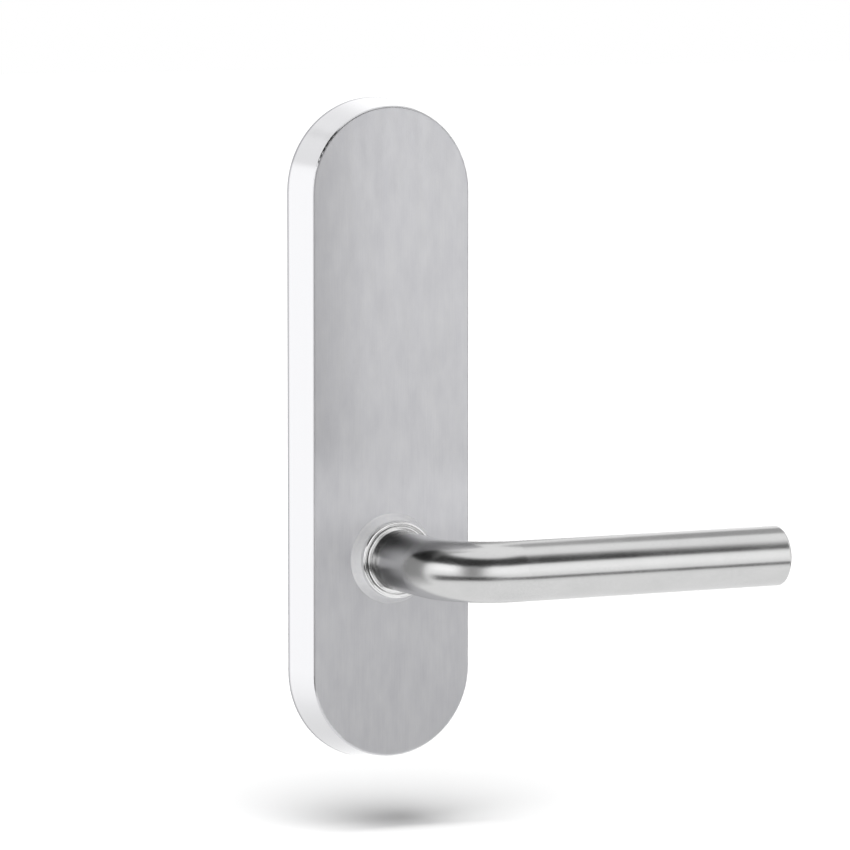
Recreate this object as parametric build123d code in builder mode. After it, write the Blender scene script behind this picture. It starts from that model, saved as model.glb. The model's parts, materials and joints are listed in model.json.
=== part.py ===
from build123d import *
import math
import os

os.makedirs("parts", exist_ok=True)

# Lever handle on a round-ended door plate, right hand, sprung against a level stop.
# Millimetres. The origin is the spindle axis on the door face: +Z up, -Y out of the door, lever to +X.
# Heights named *_h are measured from the door face towards the viewer.

# Plate
plate_width = 59.0
plate_height = 211.0
cover_sheet = 1.5
draft_angle = 9.4
edge_radius = 0.8
spindle_rise = 65.5        # spindle axis above the lower end of the plate

# Lever bar
bar_diameter = 19.0
bar_wall = 1.5
lever_reach = 47.0         # show face of the plate to the centreline of the bar
lever_length = 113.5       # spindle axis to the free end
bend_radius = 20.0         # on the centreline
cap_thickness = 2.0
cap_spigot = 6.0
cap_edge_radius = 0.8

# Neck bearing
bush_wall = 1.15
collar_wall = 0.9
collar_lip = 0.65          # flange beyond the collar barrel
collar_flange = 1.6        # flange thickness, the bright ring on the boss
collar_edge_radius = 0.6
boss_height = 3.6          # coned ring between the show face and the collar flange
boss_base_radius = 14.4
boss_step = 0.2            # boss beyond the flange, where they meet
boss_edge_radius = 0.3
neck_ring_wall = 1.2
neck_ring_sink = 0.4       # seat of the neck ring below the flange
neck_ring_proud = 0.2      # above the collar flange
neck_ring_edge = 0.4
nut_wall = 2.8
nut_thickness = 2.4
nut_slot_width = 3.0
nut_slot_depth = 1.4
nut_chamfer = 0.3

# Return spring and what it works against
spring_wire = 2.0
spring_pitch = 2.8
spring_full_turns = 2
spring_leg_bend = 2.5      # centreline radius between coil and leg
spring_leg_length = 4.2
spring_room = 0.8          # coil to ring nut, and tab to leg bend
tab_width = 8.0
lever_swing = 45.0         # degrees, down from level
stop_pin_radius = 2.5
stop_pin_tail = 1.75

# Sheet and small parts
chassis_thickness = 1.6
driver_thickness = 1.5
driver_hub_radius = 13.0
driver_corner_radius = 2.0
tab_bend_radius = 0.6
thrust_washer_thickness = 0.8
circlip_thickness = 1.0
circlip_width = 1.9
stem_journal_radius = 7.5
stem_flats = 12.4
stem_grip = 33.0           # stem inside the tube, from the end of the tube
groove_depth = 0.6
spindle_square = 7.6
spindle_reach = 40.0       # behind the door face
grub_radius = 2.5
grub_rise = 14.0           # above the show face
grub_key = 2.5

# Fixings
post_inset = 20.5          # from the ends of the plate
post_radius = 4.5
post_head = 1.0
post_head_thickness = 0.8
post_reach = 9.0           # behind the door face
post_tap_radius = 2.1      # tapped M5
post_tap_depth = 17.0
stud_radius = 2.0          # M4
stud_flange = 0.75
stud_flange_thickness = 0.7
stud_side_inset = 13.5     # from the sides of the plate
stud_row_inset = 39.5      # from the ends of the plate
stud_tail = 1.2            # stud beyond its nut
washer_radius = 4.5
washer_thickness = 0.8
nut_flats = 7.0
nut_height = 3.2

# Clearances
running_gap = 0.05         # neck in its bush, radial
fit_gap = 0.05             # pieces fixed in one another
end_float = 0.1            # lever along its axis
sight_gap = 0.2            # neck ring in the collar, a dark line around the neck
hole_gap = 0.15            # barrel through the sheets
spring_gap = 0.1           # spring legs beside their tabs
seat_gap = 0.14            # coil under the chassis
door_gap = 0.1             # circlip above the door face
edge_gap = 0.4             # chassis inside the pan

# Bearing radii, from the neck outwards
neck_radius = bar_diameter / 2
bush_bore = neck_radius + running_gap
bush_radius = bush_bore + bush_wall
collar_bore = bush_radius + fit_gap
barrel_radius = collar_bore + collar_wall
flange_radius = barrel_radius + collar_lip
neck_ring_bore = neck_radius + fit_gap
neck_ring_radius = neck_ring_bore + neck_ring_wall
collar_recess = neck_ring_radius + sight_gap
nut_bore = barrel_radius + fit_gap
nut_radius = nut_bore + nut_wall

# Spring plan, seen from the front
coil_radius = nut_radius + spring_room + spring_wire / 2
leg_x = tab_width / 2 + spring_gap + spring_wire / 2
leg_z = math.sqrt((coil_radius + spring_leg_bend) ** 2 - (leg_x - spring_leg_bend) ** 2)
coil_start = math.degrees(math.atan2(leg_z, spring_leg_bend - leg_x))
coil_sweep = 360 * spring_full_turns + 2 * (coil_start - 90)
tab_z = leg_z + spring_room
leg_end_z = leg_z + spring_leg_length

# Stack from the door face to the collar
circlip_h = door_gap
driver_h = circlip_h + circlip_thickness
thrust_h = driver_h + driver_thickness
barrel_h = thrust_h + thrust_washer_thickness + end_float
coil_low_h = driver_h + driver_thickness + spring_room + seat_gap + spring_wire / 2
coil_high_h = coil_low_h + spring_pitch * coil_sweep / 360
chassis_h = coil_high_h + spring_wire / 2 + seat_gap
pan_h = chassis_h + chassis_thickness
plate_depth = pan_h + cover_sheet
boss_h = plate_depth + boss_height
ring_seat_h = boss_h - neck_ring_sink
collar_h = boss_h + collar_flange
tube_end_h = barrel_h + thrust_washer_thickness
stem_top_h = tube_end_h + stem_grip
stem_end_h = circlip_h - groove_depth
bar_h = plate_depth + lever_reach
grub_h = plate_depth + grub_rise
spindle_top_h = stem_top_h - bar_wall * 3

# Places along and across the plate
spindle_drop = plate_height / 2 - spindle_rise
post_spacing = plate_height - 2 * post_inset
stud_spread = plate_width - 2 * stud_side_inset
stud_row_pitch = plate_height / 2 - stud_row_inset

# Pan and chassis outlines
draft = math.tan(math.radians(draft_angle))
pan_width = plate_width - 2 * cover_sheet
pan_height = plate_height - 2 * cover_sheet
chassis_inset = pan_h * draft + edge_gap
chassis_width = pan_width - 2 * chassis_inset
chassis_height = pan_height - 2 * chassis_inset

# Stops for the driver lug, below the spindle
pin_circle = coil_radius + spring_wire / 2 + spring_room + stop_pin_radius
lug_angle = math.degrees(math.asin((tab_width / 2 + stop_pin_radius + spring_gap) / pin_circle))
rest_angle = math.radians(lug_angle - 90)
travel_angle = math.radians(-90 - lever_swing - lug_angle)
rest_pin = (pin_circle * math.cos(rest_angle), pin_circle * math.sin(rest_angle))
travel_pin = (pin_circle * math.cos(travel_angle), pin_circle * math.sin(travel_angle))

# Local x is the radius and local y the height from the door face
turning = Plane(origin=(0, 0, 0), x_dir=(1, 0, 0), z_dir=(0, 0, -1))


def level(height):
    return Plane.XZ.offset(height)


# Pressed cover: drafted pan, filleted front edge, open back
with BuildPart() as cover_plate:
    with BuildSketch(level(0)):
        with Locations((0, spindle_drop)):
            SlotOverall(plate_height, plate_width, rotation=90)
    extrude(amount=plate_depth, taper=draft_angle)
    fillet(cover_plate.faces().sort_by(Axis.Y)[0].edges(), edge_radius)
    with BuildSketch(level(0)):
        with Locations((0, spindle_drop)):
            SlotOverall(pan_height, pan_width, rotation=90)
    extrude(amount=pan_h, taper=draft_angle, mode=Mode.SUBTRACT)
    with BuildSketch(level(pan_h)):
        Circle(barrel_radius + hole_gap)
    extrude(amount=cover_sheet, mode=Mode.SUBTRACT)

# Chassis sheet behind the show face, with a lanced tab that holds the upper spring leg
tab_drop = spring_wire * 1.5
with BuildPart() as chassis_plate:
    with BuildSketch(level(chassis_h)):
        with Locations((0, spindle_drop)):
            SlotOverall(chassis_height, chassis_width, rotation=90)
        Circle(barrel_radius + hole_gap, mode=Mode.SUBTRACT)
        with Locations(rest_pin, travel_pin):
            Circle(stop_pin_tail + fit_gap, mode=Mode.SUBTRACT)
        with Locations((0, spindle_drop)):
            with GridLocations(stud_spread, stud_row_pitch, 2, 3):
                Circle(stud_radius + stud_flange + hole_gap, mode=Mode.SUBTRACT)
            with GridLocations(0, post_spacing, 1, 2):
                Circle(post_radius + fit_gap, mode=Mode.SUBTRACT)
        with Locations((0, tab_z + chassis_thickness)):
            Rectangle(tab_width, tab_drop + chassis_thickness,
                      align=(Align.CENTER, Align.MIN), mode=Mode.SUBTRACT)
    extrude(amount=chassis_thickness)
    with BuildSketch(level(pan_h - post_head_thickness)):
        with Locations((0, spindle_drop)):
            with GridLocations(0, post_spacing, 1, 2):
                Circle(post_radius + post_head + fit_gap)
    extrude(amount=post_head_thickness, mode=Mode.SUBTRACT)
    with BuildSketch(level(chassis_h - tab_drop)):
        with Locations((0, tab_z)):
            Rectangle(tab_width, chassis_thickness, align=(Align.CENTER, Align.MIN))
    extrude(amount=tab_drop)
    fold_edges = chassis_plate.edges().filter_by(Axis.X).group_by(Axis.Y)
    fillet(fold_edges[1].sort_by(Axis.Z)[0], tab_bend_radius)
    fold_edges = chassis_plate.edges().filter_by(Axis.X).group_by(Axis.Y)
    fillet(fold_edges[0].sort_by(Axis.Z)[0], min(2 * tab_bend_radius, chassis_thickness * 0.8))

# Studs welded to the inside of the cover
with BuildPart() as weld_studs:
    stud_end_h = chassis_h - washer_thickness - nut_height - stud_tail
    with BuildSketch(level(stud_end_h)):
        with Locations((0, spindle_drop)):
            with GridLocations(stud_spread, stud_row_pitch, 2, 3):
                Circle(stud_radius)
    extrude(amount=pan_h - stud_end_h)
    chamfer(weld_studs.faces().group_by(Axis.Y)[-1].edges(), stud_radius / 5)
    with BuildSketch(level(pan_h - stud_flange_thickness)):
        with Locations((0, spindle_drop)):
            with GridLocations(stud_spread, stud_row_pitch, 2, 3):
                Circle(stud_radius + stud_flange)
    extrude(amount=stud_flange_thickness)

with BuildPart() as stud_washers:
    with BuildSketch(level(chassis_h - washer_thickness)):
        with Locations((0, spindle_drop)):
            with GridLocations(stud_spread, stud_row_pitch, 2, 3):
                Circle(washer_radius)
                Circle(stud_radius + hole_gap, mode=Mode.SUBTRACT)
    extrude(amount=washer_thickness)

# Hexagon nuts, their corners turned off by a coned disc at each end
with BuildPart() as stud_nuts:
    nut_h = chassis_h - washer_thickness - nut_height
    with BuildSketch(level(nut_h)):
        with Locations((0, spindle_drop)):
            with GridLocations(stud_spread, stud_row_pitch, 2, 3):
                RegularPolygon(nut_flats / 2, 6, major_radius=False)
    extrude(amount=nut_height)
    with BuildSketch(level(nut_h)):
        with Locations((0, spindle_drop)):
            with GridLocations(stud_spread, stud_row_pitch, 2, 3):
                Circle(nut_flats / 2)
    extrude(amount=nut_height, taper=-30, mode=Mode.INTERSECT)
    with BuildSketch(level(nut_h)):
        with Locations((0, spindle_drop)):
            with GridLocations(stud_spread, stud_row_pitch, 2, 3):
                Circle(stud_radius + fit_gap)
    extrude(amount=nut_height, mode=Mode.SUBTRACT)

# Clinched posts, heads flush in the front of the chassis, tapped from the door side
post_profile = [
    (post_tap_radius, -post_reach),
    (post_radius, -post_reach),
    (post_radius, pan_h - post_head_thickness),
    (post_radius + post_head, pan_h - post_head_thickness),
    (post_radius + post_head, pan_h),
    (0, pan_h),
    (0, post_tap_depth - post_reach),
    (post_tap_radius, post_tap_depth - post_reach),
]
with BuildPart() as upper_fixing_post:
    upper_post_z = spindle_drop + post_spacing / 2
    with BuildSketch(turning.offset(-upper_post_z)):
        with BuildLine():
            Polyline(*post_profile, close=True)
        make_face()
    revolve(axis=Axis((0, 0, upper_post_z), (0, 1, 0)))
    chamfer(upper_fixing_post.faces().sort_by(Axis.Y)[-1].edges(), post_tap_radius / 5)

with BuildPart() as lower_fixing_post:
    lower_post_z = spindle_drop - post_spacing / 2
    with BuildSketch(turning.offset(-lower_post_z)):
        with BuildLine():
            Polyline(*post_profile, close=True)
        make_face()
    revolve(axis=Axis((0, 0, lower_post_z), (0, 1, 0)))
    chamfer(lower_fixing_post.faces().sort_by(Axis.Y)[-1].edges(), post_tap_radius / 5)

# Coned boss around the neck, clamped between the show face and the collar flange
with BuildPart() as boss_ring:
    with BuildSketch(turning):
        with BuildLine():
            Polyline(
                (barrel_radius + fit_gap, plate_depth),
                (boss_base_radius, plate_depth),
                (flange_radius + boss_step, boss_h),
                (barrel_radius + fit_gap, boss_h),
                close=True,
            )
        make_face()
    revolve(axis=Axis.Y)
    boss_front = boss_ring.faces().sort_by(Axis.Y)[0]
    fillet(boss_front.edges().sort_by(SortBy.RADIUS)[-1], boss_edge_radius)

# Flanged collar: the bright ring on the boss, its barrel runs back through the boss and both sheets
with BuildPart() as bearing_collar:
    with BuildSketch(turning):
        with BuildLine():
            Polyline(
                (collar_bore, barrel_h),
                (barrel_radius, barrel_h),
                (barrel_radius, boss_h),
                (flange_radius, boss_h),
                (flange_radius, collar_h),
                (collar_recess, collar_h),
                (collar_recess, ring_seat_h),
                (collar_bore, ring_seat_h),
                close=True,
            )
        make_face()
    revolve(axis=Axis.Y)
    collar_face = bearing_collar.faces().sort_by(Axis.Y)[0]
    fillet(collar_face.edges().sort_by(SortBy.RADIUS)[-1], collar_edge_radius)
    collar_face = bearing_collar.faces().sort_by(Axis.Y)[0]
    chamfer(collar_face.edges().sort_by(SortBy.RADIUS)[0], sight_gap)

with BuildPart() as neck_bush:
    with BuildSketch(level(barrel_h)):
        Circle(bush_radius)
        Circle(bush_bore, mode=Mode.SUBTRACT)
    extrude(amount=ring_seat_h - barrel_h)

# Slotted ring nut that clamps the collar to the chassis
with BuildPart() as collar_nut:
    with BuildSketch(level(chassis_h - nut_thickness)):
        Circle(nut_radius)
        Circle(nut_bore, mode=Mode.SUBTRACT)
        with PolarLocations(nut_radius, 4, 45):
            Rectangle(2 * nut_slot_depth, nut_slot_width, mode=Mode.SUBTRACT)
    extrude(amount=nut_thickness)
    nut_rims = collar_nut.edges().filter_by(GeomType.CIRCLE).group_by(SortBy.RADIUS)[-1]
    chamfer(nut_rims, nut_chamfer)

# Shouldered pins riveted to the chassis
with BuildPart() as rest_stop_pin:
    with BuildSketch(level(driver_h - spring_gap)):
        with Locations(rest_pin):
            Circle(stop_pin_radius)
    extrude(amount=chassis_h - driver_h + spring_gap)
    chamfer(rest_stop_pin.faces().sort_by(Axis.Y)[-1].edges(), stop_pin_radius / 6)
    with BuildSketch(level(chassis_h)):
        with Locations(rest_pin):
            Circle(stop_pin_tail)
    extrude(amount=chassis_thickness)

with BuildPart() as travel_stop_pin:
    with BuildSketch(level(driver_h - spring_gap)):
        with Locations(travel_pin):
            Circle(stop_pin_radius)
    extrude(amount=chassis_h - driver_h + spring_gap)
    chamfer(travel_stop_pin.faces().sort_by(Axis.Y)[-1].edges(), stop_pin_radius / 6)
    with BuildSketch(level(chassis_h)):
        with Locations(travel_pin):
            Circle(stop_pin_tail)
    extrude(amount=chassis_thickness)

# Torsion spring: the path is a list of points with their directions, joined by pairs of tangent arcs.
# It runs from the upper leg clockwise around the nut to the lower leg.
coil_slope = spring_pitch / (2 * math.pi * coil_radius)
quarter_count = math.ceil(coil_sweep / 90)
spring_stations = [(Vector(-leg_x, -coil_high_h, leg_z), Vector(0, 0, -1))]
for quarter in range(quarter_count + 1):
    turned = coil_sweep * quarter / quarter_count
    around = math.radians(coil_start - turned)
    station_h = coil_high_h - spring_pitch * turned / 360
    station = Vector(coil_radius * math.cos(around), -station_h, coil_radius * math.sin(around))
    heading = Vector(math.sin(around), coil_slope, -math.cos(around)).normalized()
    spring_stations.append((station, heading))
spring_stations.append((Vector(leg_x, -coil_low_h, leg_z), Vector(0, 0, 1)))


def arc_meeting(start, start_heading, end, end_heading):
    chord = end - start
    bend = 2 * (1 - start_heading.dot(end_heading))
    along = chord.dot(start_heading + end_heading)
    reach = (math.sqrt(along ** 2 + bend * chord.dot(chord)) - along) / bend
    return (start + end + (start_heading - end_heading) * reach) * 0.5


with BuildPart() as return_spring:
    with BuildLine() as spring_line:
        Line((-leg_x, -coil_high_h, leg_end_z), spring_stations[0][0])
        for (start, start_heading), (end, end_heading) in zip(spring_stations, spring_stations[1:]):
            meeting = arc_meeting(start, start_heading, end, end_heading)
            TangentArc(start, meeting, tangent=start_heading)
            TangentArc(end, meeting, tangent=end_heading * -1)
        Line(spring_stations[-1][0], (leg_x, -coil_low_h, leg_end_z))
    with BuildSketch(Plane(origin=(-leg_x, -coil_high_h, leg_end_z), z_dir=(0, 0, -1))):
        Circle(spring_wire / 2)
    sweep(path=spring_line.wires()[0])

# Least gap of the spring to itself, between points that lie over half a turn apart along the wire
spring_wire_line = spring_line.wires()[0]
point_count = 400
spring_points = [spring_wire_line.position_at(i / point_count) for i in range(point_count + 1)]
half_turn = int(point_count * math.pi * coil_radius / spring_wire_line.length)
spring_self_gap = min(
    (spring_points[i] - spring_points[j]).length
    for i in range(point_count + 1)
    for j in range(i + half_turn, point_count + 1)
) - spring_wire
print(f"return spring: {coil_sweep / 360:.2f} turns, least gap to itself {spring_self_gap:.2f} mm")

# Bent tube, from inside the bush to the end cap
with BuildPart() as lever_tube:
    with BuildLine() as bar_line:
        FilletPolyline(
            (0, -tube_end_h),
            (0, -bar_h),
            (lever_length - cap_thickness, -bar_h),
            radius=bend_radius,
        )
    with BuildSketch(level(tube_end_h)):
        Circle(neck_radius)
        Circle(neck_radius - bar_wall, mode=Mode.SUBTRACT)
    sweep(path=bar_line.wires()[0])
    with BuildSketch(Plane(origin=(0, -grub_h, 0), x_dir=(1, 0, 0), z_dir=(0, 0, -1))):
        Circle(grub_radius + fit_gap)
    extrude(amount=bar_diameter, mode=Mode.SUBTRACT)

# Welded plug at the free end
with BuildPart() as lever_end_cap:
    with BuildSketch(Plane(origin=(lever_length, -bar_h, 0), z_dir=(-1, 0, 0))):
        Circle(neck_radius)
    extrude(amount=cap_thickness)
    fillet(lever_end_cap.faces().sort_by(Axis.X)[-1].edges(), cap_edge_radius)
    with BuildSketch(Plane(origin=(lever_length - cap_thickness, -bar_h, 0), z_dir=(-1, 0, 0))):
        Circle(neck_radius - bar_wall - fit_gap)
    extrude(amount=cap_spigot)
    chamfer(lever_end_cap.faces().sort_by(Axis.X)[0].edges(), cap_edge_radius)

# Stem: plug in the neck, journal with two flats, circlip groove and square socket
stem_radius = neck_radius - bar_wall - fit_gap
with BuildPart() as lever_stem:
    with BuildSketch(level(tube_end_h)):
        Circle(stem_radius)
    extrude(amount=stem_grip)
    chamfer(lever_stem.faces().sort_by(Axis.Y)[0].edges(), groove_depth)
    with BuildSketch(level(stem_end_h)):
        Circle(stem_journal_radius)
        Rectangle(stem_flats, 2 * stem_journal_radius, mode=Mode.INTERSECT)
    extrude(amount=tube_end_h - stem_end_h)
    with BuildSketch(level(circlip_h)):
        Circle(stem_journal_radius)
        Circle(stem_journal_radius - groove_depth, mode=Mode.SUBTRACT)
    extrude(amount=circlip_thickness, mode=Mode.SUBTRACT)
    with BuildSketch(level(stem_end_h)):
        Rectangle(spindle_square + 2 * fit_gap, spindle_square + 2 * fit_gap)
    extrude(amount=spindle_top_h + fit_gap - stem_end_h, mode=Mode.SUBTRACT)
    with BuildSketch(Plane(origin=(0, -grub_h, 0), x_dir=(1, 0, 0), z_dir=(0, 0, -1))):
        Circle(grub_radius + fit_gap)
    extrude(amount=bar_diameter, mode=Mode.SUBTRACT)

# Shoulder on the neck, running in the recess of the collar
with BuildPart() as neck_ring:
    with BuildSketch(level(ring_seat_h + end_float)):
        Circle(neck_ring_radius)
        Circle(neck_ring_bore, mode=Mode.SUBTRACT)
    extrude(amount=collar_h + neck_ring_proud - ring_seat_h - end_float)
    ring_front = neck_ring.faces().sort_by(Axis.Y)[0]
    fillet(ring_front.edges().sort_by(SortBy.RADIUS)[-1], neck_ring_edge)

# Socket set screw, from under the neck onto the spindle
with BuildPart() as grub_screw:
    grub_tip = spindle_square / 2 + fit_gap
    grub_length = neck_radius - bar_wall / 2 - grub_tip
    with BuildSketch(Plane(origin=(0, -grub_h, -grub_tip), x_dir=(1, 0, 0), z_dir=(0, 0, -1))):
        Circle(grub_radius)
    extrude(amount=grub_length)
    chamfer(grub_screw.edges().group_by(Axis.Z)[-1], grub_radius / 4)
    with BuildSketch(Plane(origin=(0, -grub_h, -grub_tip - grub_length), x_dir=(1, 0, 0))):
        RegularPolygon(grub_key / 2, 6, major_radius=False)
    extrude(amount=grub_key, mode=Mode.SUBTRACT)

with BuildPart() as thrust_washer:
    with BuildSketch(level(thrust_h)):
        Circle(barrel_radius)
        Circle(stem_journal_radius + fit_gap, mode=Mode.SUBTRACT)
    extrude(amount=thrust_washer_thickness)

# Driver on the stem flats: an arm with a raised tab for the spring, and a lug between the stop pins
with BuildPart() as spring_driver:
    with BuildSketch(level(driver_h)) as driver_outline:
        Circle(driver_hub_radius)
        Rectangle(tab_width, tab_z + driver_thickness, align=(Align.CENTER, Align.MIN))
        Rectangle(tab_width, pin_circle + stop_pin_radius, align=(Align.CENTER, Align.MAX))
        outline_rows = driver_outline.vertices().group_by(Axis.Y)
        fillet(outline_rows[1] + outline_rows[-2], driver_corner_radius)
        with BuildSketch(mode=Mode.PRIVATE) as stem_hole:
            Circle(stem_journal_radius + fit_gap)
            Rectangle(stem_flats + 2 * fit_gap, 3 * stem_journal_radius, mode=Mode.INTERSECT)
        add(stem_hole.sketch, mode=Mode.SUBTRACT)
    extrude(amount=driver_thickness)
    with BuildSketch(level(driver_h)):
        with Locations((0, tab_z)):
            Rectangle(tab_width, driver_thickness, align=(Align.CENTER, Align.MIN))
    extrude(amount=coil_low_h + spring_wire - driver_h)
    fold_edges = spring_driver.edges().filter_by(Axis.X).group_by(Axis.Y)
    fillet(fold_edges[1].sort_by(Axis.Z)[-1], tab_bend_radius)
    fold_edges = spring_driver.edges().filter_by(Axis.X).group_by(Axis.Y)
    fillet(fold_edges[-1].sort_by(Axis.Z)[-1], tab_bend_radius + driver_thickness)

# Circlip with a gap and two plier eyes
with BuildPart() as circlip:
    circlip_bore = stem_journal_radius - groove_depth + fit_gap
    eye_radius = circlip_width * 0.8
    with BuildSketch(level(circlip_h)):
        Circle(circlip_bore + circlip_width)
        with Locations((0, -circlip_bore - eye_radius)):
            with GridLocations(eye_radius * 2.6, 0, 2, 1):
                Circle(eye_radius)
        Circle(circlip_bore, mode=Mode.SUBTRACT)
        Rectangle(eye_radius * 0.8, 2 * (circlip_bore + circlip_width),
                  align=(Align.CENTER, Align.MAX), mode=Mode.SUBTRACT)
        with Locations((0, -circlip_bore - eye_radius)):
            with GridLocations(eye_radius * 2.6, 0, 2, 1):
                Circle(eye_radius / 2, mode=Mode.SUBTRACT)
    extrude(amount=circlip_thickness)

with BuildPart() as spindle:
    with BuildSketch(level(-spindle_reach)):
        Rectangle(spindle_square, spindle_square)
    extrude(amount=spindle_top_h + spindle_reach)
    chamfer(spindle.faces().sort_by(Axis.Y)[-1].edges(), spindle_square / 10)

pieces = {
    "cover_plate": cover_plate,
    "chassis_plate": chassis_plate,
    "weld_studs": weld_studs,
    "stud_washers": stud_washers,
    "stud_nuts": stud_nuts,
    "upper_fixing_post": upper_fixing_post,
    "lower_fixing_post": lower_fixing_post,
    "boss_ring": boss_ring,
    "bearing_collar": bearing_collar,
    "neck_bush": neck_bush,
    "collar_nut": collar_nut,
    "return_spring": return_spring,
    "rest_stop_pin": rest_stop_pin,
    "travel_stop_pin": travel_stop_pin,
    "lever_tube": lever_tube,
    "lever_end_cap": lever_end_cap,
    "lever_stem": lever_stem,
    "neck_ring": neck_ring,
    "grub_screw": grub_screw,
    "thrust_washer": thrust_washer,
    "spring_driver": spring_driver,
    "circlip": circlip,
    "spindle": spindle,
}
for name, piece in pieces.items():
    piece.part.label = name
    export_step(piece.part, f"parts/{name}.step")
print(f"plate depth {plate_depth:.2f} mm, bar centreline {bar_h:.2f} mm from the door")
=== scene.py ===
import json
import math

import bpy
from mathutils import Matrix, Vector
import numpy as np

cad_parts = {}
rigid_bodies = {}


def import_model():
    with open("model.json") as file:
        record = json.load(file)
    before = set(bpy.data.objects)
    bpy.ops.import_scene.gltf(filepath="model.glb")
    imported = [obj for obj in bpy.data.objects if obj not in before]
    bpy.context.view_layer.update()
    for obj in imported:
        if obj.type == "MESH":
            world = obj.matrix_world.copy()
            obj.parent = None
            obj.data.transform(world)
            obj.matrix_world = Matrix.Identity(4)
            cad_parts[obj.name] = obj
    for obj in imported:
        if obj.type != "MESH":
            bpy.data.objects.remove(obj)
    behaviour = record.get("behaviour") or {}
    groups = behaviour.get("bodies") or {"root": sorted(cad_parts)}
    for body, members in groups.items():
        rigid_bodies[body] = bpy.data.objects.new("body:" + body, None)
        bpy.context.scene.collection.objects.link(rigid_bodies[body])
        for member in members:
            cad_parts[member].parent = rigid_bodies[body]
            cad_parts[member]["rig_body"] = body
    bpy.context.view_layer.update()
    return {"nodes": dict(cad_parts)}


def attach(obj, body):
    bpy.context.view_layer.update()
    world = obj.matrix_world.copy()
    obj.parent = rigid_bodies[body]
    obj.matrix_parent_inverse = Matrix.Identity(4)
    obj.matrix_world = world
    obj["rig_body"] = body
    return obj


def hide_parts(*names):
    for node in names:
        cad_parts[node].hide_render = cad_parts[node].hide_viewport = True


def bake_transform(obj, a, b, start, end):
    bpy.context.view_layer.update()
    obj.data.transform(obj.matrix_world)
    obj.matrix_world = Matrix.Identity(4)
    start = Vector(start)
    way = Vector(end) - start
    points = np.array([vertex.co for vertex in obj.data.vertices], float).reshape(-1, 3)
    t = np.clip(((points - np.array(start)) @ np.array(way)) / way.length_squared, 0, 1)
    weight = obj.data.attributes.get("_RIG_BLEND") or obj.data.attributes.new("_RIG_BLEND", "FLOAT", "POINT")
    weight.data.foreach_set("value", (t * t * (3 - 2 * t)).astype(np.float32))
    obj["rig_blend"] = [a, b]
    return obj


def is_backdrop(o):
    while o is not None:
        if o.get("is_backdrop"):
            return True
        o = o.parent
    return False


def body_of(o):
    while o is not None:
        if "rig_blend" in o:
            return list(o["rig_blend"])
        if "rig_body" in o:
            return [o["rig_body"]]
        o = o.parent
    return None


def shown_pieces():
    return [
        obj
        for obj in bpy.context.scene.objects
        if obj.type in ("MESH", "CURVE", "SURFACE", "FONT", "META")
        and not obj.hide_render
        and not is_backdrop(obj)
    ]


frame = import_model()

nodes = frame["nodes"]
scene = bpy.context.scene
mm = 0.001
print("frame loaded:", len(nodes), "nodes")


def hexLinear(code):  # "#rrggbb" to linear, with alpha
    channels = [int(code[i:i + 2], 16) / 255 for i in (1, 3, 5)]
    linear = [c / 12.92 if c <= 0.04045 else ((c + 0.055) / 1.055) ** 2.4 for c in channels]
    return (*linear, 1.0)


def addNode(tree, kind, sockets=None, **settings):  # a socket gets a value, or a link from another socket
    node = tree.nodes.new(kind)
    for key, value in settings.items():
        setattr(node, key, value)
    for key, value in (sockets or {}).items():
        if isinstance(value, bpy.types.NodeSocket):
            tree.links.new(value, node.inputs[key])
        else:
            node.inputs[key].default_value = value
    return node


def startFinish(name, sockets):  # a material with its shader, ready for its pattern
    finish = bpy.data.materials.new(name)
    finish.use_nodes = True
    tree = finish.node_tree
    tree.nodes.clear()
    shader = addNode(tree, "ShaderNodeBsdfPrincipled", sockets)
    addNode(tree, "ShaderNodeOutputMaterial", {"Surface": shader.outputs["BSDF"]})
    place = addNode(tree, "ShaderNodeTexCoord").outputs["Object"]
    return finish, tree, shader, place


# a finish's patterns drive its colour between two tints, its roughness between two values, and its relief;
# "tintSpan" and "roughSpan" are the part of the pattern's range that does so, and "bumpDeep" is in mm
usualSpan = (0.3, 0.7)


def dressSurface(tree, shader, look, tintBy, roughBy, bumpBy=None):
    tint = addNode(tree, "ShaderNodeValToRGB", {"Fac": tintBy})
    for stop, at, colour in zip(tint.color_ramp.elements, look["tintSpan"], look["tints"]):
        stop.position = at
        stop.color = hexLinear(colour)
    tree.links.new(tint.outputs["Color"], shader.inputs["Base Color"])
    low, high = look.get("roughSpan", usualSpan)
    atLow, atHigh = look["rough"]
    rough = addNode(tree, "ShaderNodeMapRange", {
        "Value": roughBy, "From Min": low, "From Max": high, "To Min": atLow, "To Max": atHigh})
    tree.links.new(rough.outputs["Result"], shader.inputs["Roughness"])
    if bumpBy is not None:
        bump = addNode(tree, "ShaderNodeBump", {
            "Height": bumpBy, "Strength": look["bump"], "Distance": look["bumpDeep"] * mm})
        tree.links.new(bump.outputs["Normal"], shader.inputs["Normal"])
    return tint.outputs["Color"], rough.outputs["Result"]


# 304 stainless sheet, satin brushed up and down with a 180 grit belt: fine upright streaks, and highlights
# drawn out sideways; its pressed wall is polished, and a darker grey along its back rim is painted shade
# that draws the shaded edge line (mm; the broad streaks are given in widths and lengths of the fine ones)
plateSteel = {
    "tints": ("#CECED2", "#E0E0E2"), "tintSpan": (0.3, 0.7), "rough": (0.44, 0.54),
    "bump": 0.03, "bumpDeep": 0.05,
    "streakWidth": 0.5, "streakLength": 14, "broadWidths": 7, "broadLengths": 3, "broadShare": 0.35,
    "cloudWidth": 4, "cloudLength": 11, "cloudShare": 0.45,
    "wallTint": "#D8D8DA", "wallRough": 0.18, "wallDepth": (-14.48, -14.1), "doorFacing": (0.5, 0.8),
    "rimPaintedShade": "#9C9CA0", "rimShadeDepth": (-1.2, -0.4),
}


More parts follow.
